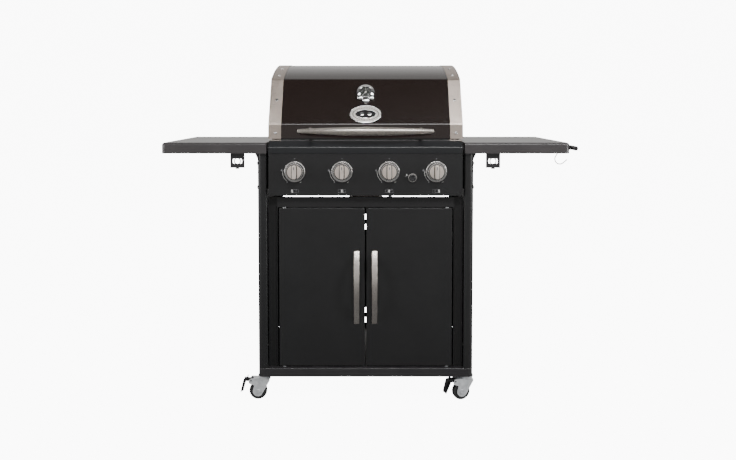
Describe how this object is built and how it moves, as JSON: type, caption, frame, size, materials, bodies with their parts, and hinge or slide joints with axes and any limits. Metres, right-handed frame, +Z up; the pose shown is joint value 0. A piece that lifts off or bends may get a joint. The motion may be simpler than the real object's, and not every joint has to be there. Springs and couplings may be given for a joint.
{
  "type": "gas barbecue grill",
  "caption": "Gas barbecue grill on a closed cart with a hinged hood, control knobs, cupboard doors, side shelves and casters.",
  "frame": {"origin": "bottom centre of the whole grill's bounding box, on the floor", "axes": "+X to the grill's right-hand shelf as seen from the front, +Y to its back, +Z up"},
  "size_m": [1.3934, 0.547, 1.1431],
  "materials": {
    "powder_coat": "satin black powder coat",
    "fasteners": "blackened steel",
    "firebox_enamel": "vitreous enamel",
    "hood_enamel": "gloss dark enamel",
    "stainless": "brushed stainless steel",
    "chrome": "polished chrome plate",
    "knob_metal": "spun satin metal",
    "cast_iron": "enamelled cast iron",
    "brass": "machined brass",
    "gas_pipe": "plated pipe",
    "zinc_plate": "bright zinc plate",
    "tyre_rubber": "dark grey rubber",
    "black_plastic": "black plastic",
    "needle_paint": "painted needle"
  },
  "bodies": {
    "cart": {"base_tray": "powder_coat", "side_panel_left": "powder_coat", "side_panel_right": "powder_coat", "back_panel": "powder_coat", "door_frame": "powder_coat", "door_hinge_pins": "fasteners", "door_catches": "fasteners", "caster_mounts": "powder_coat", "frame_bolts": "fasteners", "firebox": "firebox_enamel", "control_panel": "powder_coat", "front_trim": "powder_coat", "knob_bezels": "knob_metal", "gas_manifold": "gas_pipe", "gas_valves": "brass", "burners": "stainless", "flame_tamers": "stainless", "grate_left": "cast_iron", "grate_right": "cast_iron", "warming_rack": "chrome", "ignition_set": "black_plastic", "shelf_left": "powder_coat", "shelf_right": "powder_coat", "shelf_brackets": "powder_coat", "accessory_brackets": "powder_coat", "tool_rail": "powder_coat", "hood_hinges": "zinc_plate"},
    "hood": {"hood_shell": "hood_enamel", "hood_end_left": "stainless", "hood_end_right": "stainless", "hood_rivets": "stainless", "hood_handle": "stainless", "thermometer": "chrome", "hood_badge": "chrome"},
    "needle": {"thermometer_needle": "needle_paint"},
    "left_door": {"door_left": "powder_coat", "door_handle_left": "stainless"},
    "right_door": {"door_right": "powder_coat", "door_handle_right": "stainless"},
    "push_1": {"valve_collar_1": "stainless"},
    "turn_1": {"knob_1": "knob_metal"},
    "push_2": {"valve_collar_2": "stainless"},
    "turn_2": {"knob_2": "knob_metal"},
    "push_3": {"valve_collar_3": "stainless"},
    "turn_3": {"knob_3": "knob_metal"},
    "push_4": {"valve_collar_4": "stainless"},
    "turn_4": {"knob_4": "knob_metal"},
    "button": {"igniter_button": "black_plastic"},
    "fork_front_left": {"caster_fork_front_left": "zinc_plate"},
    "wheel_front_left": {"caster_wheel_front_left": "tyre_rubber"},
    "pedal_front_left": {"brake_pedal_front_left": "black_plastic"},
    "fork_front_right": {"caster_fork_front_right": "zinc_plate"},
    "wheel_front_right": {"caster_wheel_front_right": "tyre_rubber"},
    "pedal_front_right": {"brake_pedal_front_right": "black_plastic"},
    "fork_rear_left": {"caster_fork_rear_left": "zinc_plate"},
    "wheel_rear_left": {"caster_wheel_rear_left": "tyre_rubber"},
    "fork_rear_right": {"caster_fork_rear_right": "zinc_plate"},
    "wheel_rear_right": {"caster_wheel_rear_right": "tyre_rubber"},
    "tray": {"drip_tray": "stainless"},
    "hook": {"s_hook": "stainless"}
  },
  "joints": [
    {"name": "hood_lift", "type": "hinge", "parent": "cart", "child": "hood", "pos_m": [-0.0241, 0.2515, 0.895], "axis": [-1, 0, 0], "range_deg": [0, 95]},
    {"name": "needle_sweep", "type": "hinge", "parent": "hood", "child": "needle", "pos_m": [-0.0241, -0.13312, 1.03503], "axis": [0, 0.8755, -0.4832], "range_deg": [0, 270]},
    {"name": "left_door_swing", "type": "hinge", "parent": "cart", "child": "left_door", "pos_m": [-0.2961, -0.2055, 0.38], "axis": [0, 0, -1], "range_deg": [0, 110]},
    {"name": "right_door_swing", "type": "hinge", "parent": "cart", "child": "right_door", "pos_m": [0.2479, -0.2055, 0.38], "axis": [0, 0, 1], "range_deg": [0, 110]},
    {"name": "knob_1_push", "type": "slide", "parent": "cart", "child": "push_1", "axis": [0, 1, 0], "range_m": [0, 0.004], "stiffness_N_per_m": 1500},
    {"name": "knob_1_turn", "type": "hinge", "parent": "push_1", "child": "turn_1", "pos_m": [-0.2576, -0.2365, 0.771], "axis": [0, -1, 0], "range_deg": [0, 150]},
    {"name": "knob_2_push", "type": "slide", "parent": "cart", "child": "push_2", "axis": [0, 1, 0], "range_m": [0, 0.004], "stiffness_N_per_m": 1500},
    {"name": "knob_2_turn", "type": "hinge", "parent": "push_2", "child": "turn_2", "pos_m": [-0.1019, -0.2365, 0.771], "axis": [0, -1, 0], "range_deg": [0, 150]},
    {"name": "knob_3_push", "type": "slide", "parent": "cart", "child": "push_3", "axis": [0, 1, 0], "range_m": [0, 0.004], "stiffness_N_per_m": 1500},
    {"name": "knob_3_turn", "type": "hinge", "parent": "push_3", "child": "turn_3", "pos_m": [0.0537, -0.2365, 0.771], "axis": [0, -1, 0], "range_deg": [0, 150]},
    {"name": "knob_4_push", "type": "slide", "parent": "cart", "child": "push_4", "axis": [0, 1, 0], "range_m": [0, 0.004], "stiffness_N_per_m": 1500},
    {"name": "knob_4_turn", "type": "hinge", "parent": "push_4", "child": "turn_4", "pos_m": [0.2094, -0.2365, 0.771], "axis": [0, -1, 0], "range_deg": [0, 150]},
    {"name": "igniter_push", "type": "slide", "parent": "cart", "child": "button", "axis": [0, 1, 0], "range_m": [0, 0.007], "stiffness_N_per_m": 1200},
    {"name": "swivel_front_left", "type": "hinge", "parent": "cart", "child": "fork_front_left", "pos_m": [-0.3651, -0.2035, 0.076], "axis": [0, 0, 1], "continuous": true},
    {"name": "roll_front_left", "type": "hinge", "parent": "fork_front_left", "child": "wheel_front_left", "pos_m": [-0.3861, -0.2035, 0.03], "axis": [0, 1, 0], "continuous": true},
    {"name": "brake_front_left", "type": "hinge", "parent": "fork_front_left", "child": "pedal_front_left", "pos_m": [-0.4091, -0.2035, 0.066], "axis": [0, -1, 0], "range_deg": [0, 12]},
    {"name": "swivel_front_right", "type": "hinge", "parent": "cart", "child": "fork_front_right", "pos_m": [0.3169, -0.2035, 0.076], "axis": [0, 0, 1], "continuous": true},
    {"name": "roll_front_right", "type": "hinge", "parent": "fork_front_right", "child": "wheel_front_right", "pos_m": [0.29644, -0.20822, 0.03], "axis": [-0.225, 0.9744, 0], "continuous": true},
    {"name": "brake_front_right", "type": "hinge", "parent": "fork_front_right", "child": "pedal_front_right", "pos_m": [0.27403, -0.2134, 0.066], "axis": [0.225, -0.9744, 0], "range_deg": [0, 12]},
    {"name": "swivel_rear_left", "type": "hinge", "parent": "cart", "child": "fork_rear_left", "pos_m": [-0.3651, 0.2265, 0.076], "axis": [0, 0, 1], "continuous": true},
    {"name": "roll_rear_left", "type": "hinge", "parent": "fork_rear_left", "child": "wheel_rear_left", "pos_m": [-0.3861, 0.2265, 0.03], "axis": [0, 1, 0], "continuous": true},
    {"name": "swivel_rear_right", "type": "hinge", "parent": "cart", "child": "fork_rear_right", "pos_m": [0.3169, 0.2265, 0.076], "axis": [0, 0, 1], "continuous": true},
    {"name": "roll_rear_right", "type": "hinge", "parent": "fork_rear_right", "child": "wheel_rear_right", "pos_m": [0.2959, 0.2265, 0.03], "axis": [0, 1, 0], "continuous": true},
    {"name": "tray_slide", "type": "slide", "parent": "cart", "child": "tray", "axis": [0, 1, 0], "range_m": [0, 0.26]},
    {"name": "hook_swing", "type": "hinge", "parent": "cart", "child": "hook", "pos_m": [0.6674, -0.0185, 0.848], "axis": [0, 1, 0], "range_deg": [-40, 20]}
  ]
}
